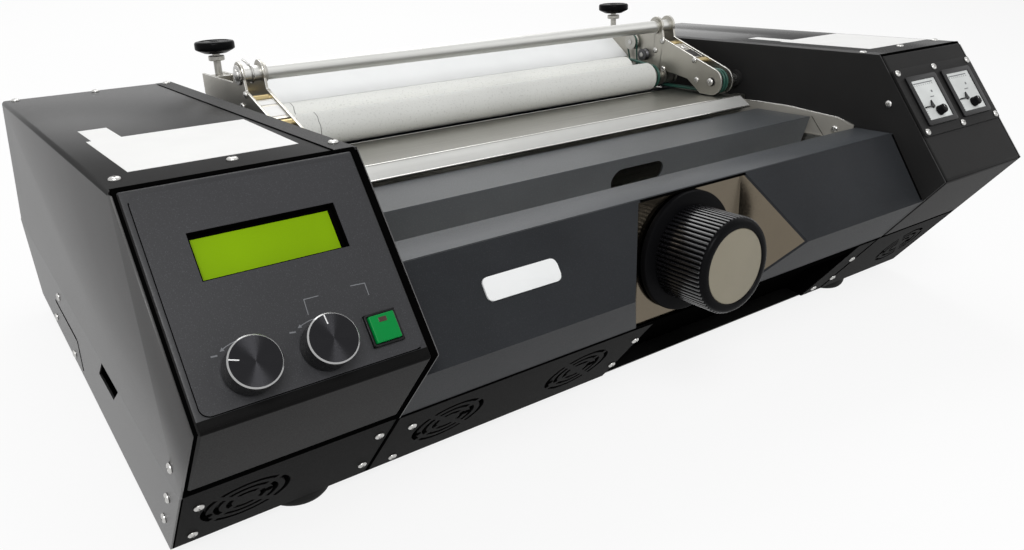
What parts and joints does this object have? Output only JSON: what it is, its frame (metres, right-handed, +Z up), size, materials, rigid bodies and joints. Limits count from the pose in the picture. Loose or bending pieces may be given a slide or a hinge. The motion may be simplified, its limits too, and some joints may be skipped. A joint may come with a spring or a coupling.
{
  "type": "tabletop gluing machine",
  "caption": "Tabletop gluing machine with two sloped control housings, a lifting press unit with white rollers, a steel feed table, a tank lid and a large ribbed film knob.",
  "frame": {"origin": "under the middle of the machine's outer box, on the surface that its feet stand on", "axes": "+X to the user's right along the rollers, +Y from the user to the back, +Z up"},
  "size_m": [0.764, 0.4992, 0.244],
  "materials": {
    "black_powder_coat": "fine textured powder coat, satin",
    "dark_bay": "matt black",
    "foot_rubber": "matt",
    "panel_foil": "fine textured front foil",
    "circuit_board": "solder mask",
    "display_green": "backlit display window",
    "black_plastic": "moulded",
    "button_green": "clear moulded cap",
    "turned_aluminium": "turned and dark anodised",
    "zinc_steel": "zinc plated",
    "dial_face_grey": "pale moulded face",
    "stainless_sheet": "bright rolled sheet",
    "plate_white": "blank plate",
    "knob_black": "moulded and ribbed",
    "cap_grey": "warm grey disc",
    "glue_roller_metal": "knurled roller",
    "motor_black": "painted",
    "belt_rubber": "matt",
    "arm_grey": "warm grey",
    "spacer_brass": "turned",
    "guard_white": "light sheet",
    "roller_cover": "pale textured cover",
    "belt_green": "round polyurethane belt"
  },
  "bodies": {
    "frame": {"base_tray": "black_powder_coat", "base_front_left": "black_powder_coat", "base_front_mid": "black_powder_coat", "base_front_right": "black_powder_coat", "bay_channel": "dark_bay", "feet": "foot_rubber", "left_cover": "black_powder_coat", "left_front": "black_powder_coat", "left_inner_panel": "black_powder_coat", "control_plate": "panel_foil", "control_board": "circuit_board", "lcd_glass": "display_green", "button_frame": "black_plastic", "right_cover": "black_powder_coat", "right_front": "black_powder_coat", "right_inner_panel": "black_powder_coat", "instrument_plate": "panel_foil", "dial_frames": "black_plastic", "dial_faces": "dial_face_grey", "mid_front_panel": "black_powder_coat", "recess_pocket": "stainless_sheet", "blank_plate": "plate_white", "glue_tank": "stainless_sheet", "tank_sides": "stainless_sheet", "feed_table": "stainless_sheet", "exit_table": "stainless_sheet", "motor": "motor_black", "drive_belt": "belt_rubber", "power_unit": "zinc_steel", "mains_inlet": "black_plastic", "fan_frames": "black_plastic", "panel_screws": "zinc_steel"},
    "lid": {"tank_lid": "black_powder_coat"},
    "press_unit": {"arm_left": "arm_grey", "arm_right": "arm_grey", "arm_spacers": "spacer_brass", "lift_bar": "zinc_steel", "guard_sheet": "guard_white", "round_belts": "belt_green"},
    "front_press_roller": {"front_roller": "roller_cover"},
    "rear_press_roller": {"rear_roller": "roller_cover"},
    "left_pivot_pulley": {"pivot_pulley_left": "zinc_steel"},
    "right_pivot_pulley": {"pivot_pulley_right": "zinc_steel"},
    "left_handwheel": {"handwheel_left": "black_plastic"},
    "right_handwheel": {"handwheel_right": "black_plastic"},
    "glue_drum": {"glue_roller": "glue_roller_metal"},
    "drive_pulley": {"motor_pulley": "zinc_steel"},
    "film_setting": {"film_knob": "knob_black", "film_knob_cap": "cap_grey"},
    "film_blade": {"doctor_blade": "zinc_steel"},
    "set_push": {"set_push_stem": "zinc_steel"},
    "set_dial": {"set_knob": "turned_aluminium"},
    "speed_dial": {"speed_knob": "turned_aluminium"},
    "start_button": {"button_cap": "button_green"},
    "dial_1": {"dial_knob_1": "black_plastic"},
    "dial_2": {"dial_knob_2": "black_plastic"},
    "pointer_1": {"dial_pointer_1": "black_plastic"},
    "pointer_2": {"dial_pointer_2": "black_plastic"},
    "left_fan": {"fan_wheel_left": "black_plastic"},
    "right_fan": {"fan_wheel_right": "black_plastic"}
  },
  "joints": [
    {"name": "lid_open", "type": "hinge", "parent": "frame", "child": "lid", "pos_m": [0, -0.0504, 0.16251], "axis": [-1, 0, 0], "range_deg": [0, 70]},
    {"name": "press_lift", "type": "hinge", "parent": "frame", "child": "press_unit", "pos_m": [0, -0.00808, 0.1876], "axis": [1, 0, 0], "range_deg": [0, 30]},
    {"name": "front_roller_turn", "type": "hinge", "parent": "press_unit", "child": "front_press_roller", "pos_m": [0, 0.06344, 0.17704], "axis": [1, 0, 0], "continuous": true},
    {"name": "rear_roller_turn", "type": "hinge", "parent": "press_unit", "child": "rear_press_roller", "pos_m": [0, 0.09766, 0.17603], "axis": [1, 0, 0], "continuous": true},
    {"name": "left_pulley_turn", "type": "hinge", "parent": "press_unit", "child": "left_pivot_pulley", "pos_m": [-0.222, -0.00808, 0.1876], "axis": [1, 0, 0], "continuous": true},
    {"name": "right_pulley_turn", "type": "hinge", "parent": "press_unit", "child": "right_pivot_pulley", "pos_m": [0.222, -0.00808, 0.1876], "axis": [1, 0, 0], "continuous": true},
    {"name": "left_handwheel_turn", "type": "hinge", "parent": "press_unit", "child": "left_handwheel", "pos_m": [-0.222, 0.15219, 0.22357], "axis": [0, 0.1461, 0.9893], "continuous": true},
    {"name": "right_handwheel_turn", "type": "hinge", "parent": "press_unit", "child": "right_handwheel", "pos_m": [0.222, 0.15219, 0.22357], "axis": [0, 0.1461, 0.9893], "continuous": true},
    {"name": "glue_roller_turn", "type": "hinge", "parent": "frame", "child": "glue_drum", "pos_m": [0, 0.06235, 0.14223], "axis": [1, 0, 0], "continuous": true},
    {"name": "motor_turn", "type": "hinge", "parent": "frame", "child": "drive_pulley", "pos_m": [-0.269, -0.03721, 0.125], "axis": [1, 0, 0], "continuous": true},
    {"name": "film_knob_turn", "type": "hinge", "parent": "frame", "child": "film_setting", "pos_m": [-0.0065, -0.19134, 0.13561], "axis": [0, -0.9893, 0.1461], "range_deg": [0, 270]},
    {"name": "blade_slide", "type": "slide", "parent": "frame", "child": "film_blade", "axis": [0, 0.9893, -0.1461], "range_m": [0, 0.003]},
    {"name": "set_knob_push", "type": "slide", "parent": "frame", "child": "set_push", "axis": [0, 0.7071, -0.7071], "range_m": [0, 0.0012], "stiffness_N_per_m": 900, "springref_m": -0.001},
    {"name": "set_knob_turn", "type": "hinge", "parent": "set_push", "child": "set_dial", "pos_m": [-0.346, -0.23614, 0.17982], "axis": [0, -0.7071, 0.7071], "continuous": true},
    {"name": "speed_knob_turn", "type": "hinge", "parent": "frame", "child": "speed_dial", "pos_m": [-0.307, -0.23529, 0.17897], "axis": [0, -0.7071, 0.7071], "range_deg": [-140, 140]},
    {"name": "start_button_press", "type": "slide", "parent": "frame", "child": "start_button", "axis": [0, 0.7071, -0.7071], "range_m": [0, 0.003], "stiffness_N_per_m": 300, "springref_m": -0.001},
    {"name": "dial_1_turn", "type": "hinge", "parent": "frame", "child": "dial_1", "pos_m": [0.2875, -0.20489, 0.20443], "axis": [0, -0.7071, 0.7071], "range_deg": [-120, 120]},
    {"name": "pointer_1_turn", "type": "hinge", "parent": "frame", "child": "pointer_1", "pos_m": [0.2815, -0.19923, 0.20655], "axis": [0, -0.7071, 0.7071], "range_deg": [-36, 36]},
    {"name": "dial_2_turn", "type": "hinge", "parent": "frame", "child": "dial_2", "pos_m": [0.3445, -0.20489, 0.20443], "axis": [0, -0.7071, 0.7071], "range_deg": [-120, 120]},
    {"name": "pointer_2_turn", "type": "hinge", "parent": "frame", "child": "pointer_2", "pos_m": [0.3385, -0.19923, 0.20655], "axis": [0, -0.7071, 0.7071], "range_deg": [-36, 36]},
    {"name": "left_fan_turn", "type": "hinge", "parent": "frame", "child": "left_fan", "pos_m": [-0.339, -0.1699, 0.0552], "axis": [0, -0.8499, -0.527], "continuous": true},
    {"name": "right_fan_turn", "type": "hinge", "parent": "frame", "child": "right_fan", "pos_m": [0.335, -0.1699, 0.0552], "axis": [0, -0.8499, -0.527], "continuous": true}
  ],
  "couplings": [
    {"joint": "front_roller_turn", "follows": "glue_roller_turn", "ratio": -1.4286},
    {"joint": "rear_roller_turn", "follows": "glue_roller_turn", "ratio": -1.4286},
    {"joint": "left_pulley_turn", "follows": "glue_roller_turn", "ratio": -1.4286},
    {"joint": "right_pulley_turn", "follows": "glue_roller_turn", "ratio": -1.4286},
    {"joint": "motor_turn", "follows": "glue_roller_turn", "ratio": 1},
    {"joint": "blade_slide", "follows": "film_knob_turn", "m_per_rad": 0.00063662},
    {"joint": "pointer_1_turn", "follows": "dial_1_turn", "ratio": 0.3},
    {"joint": "pointer_2_turn", "follows": "dial_2_turn", "ratio": 0.3}
  ]
}
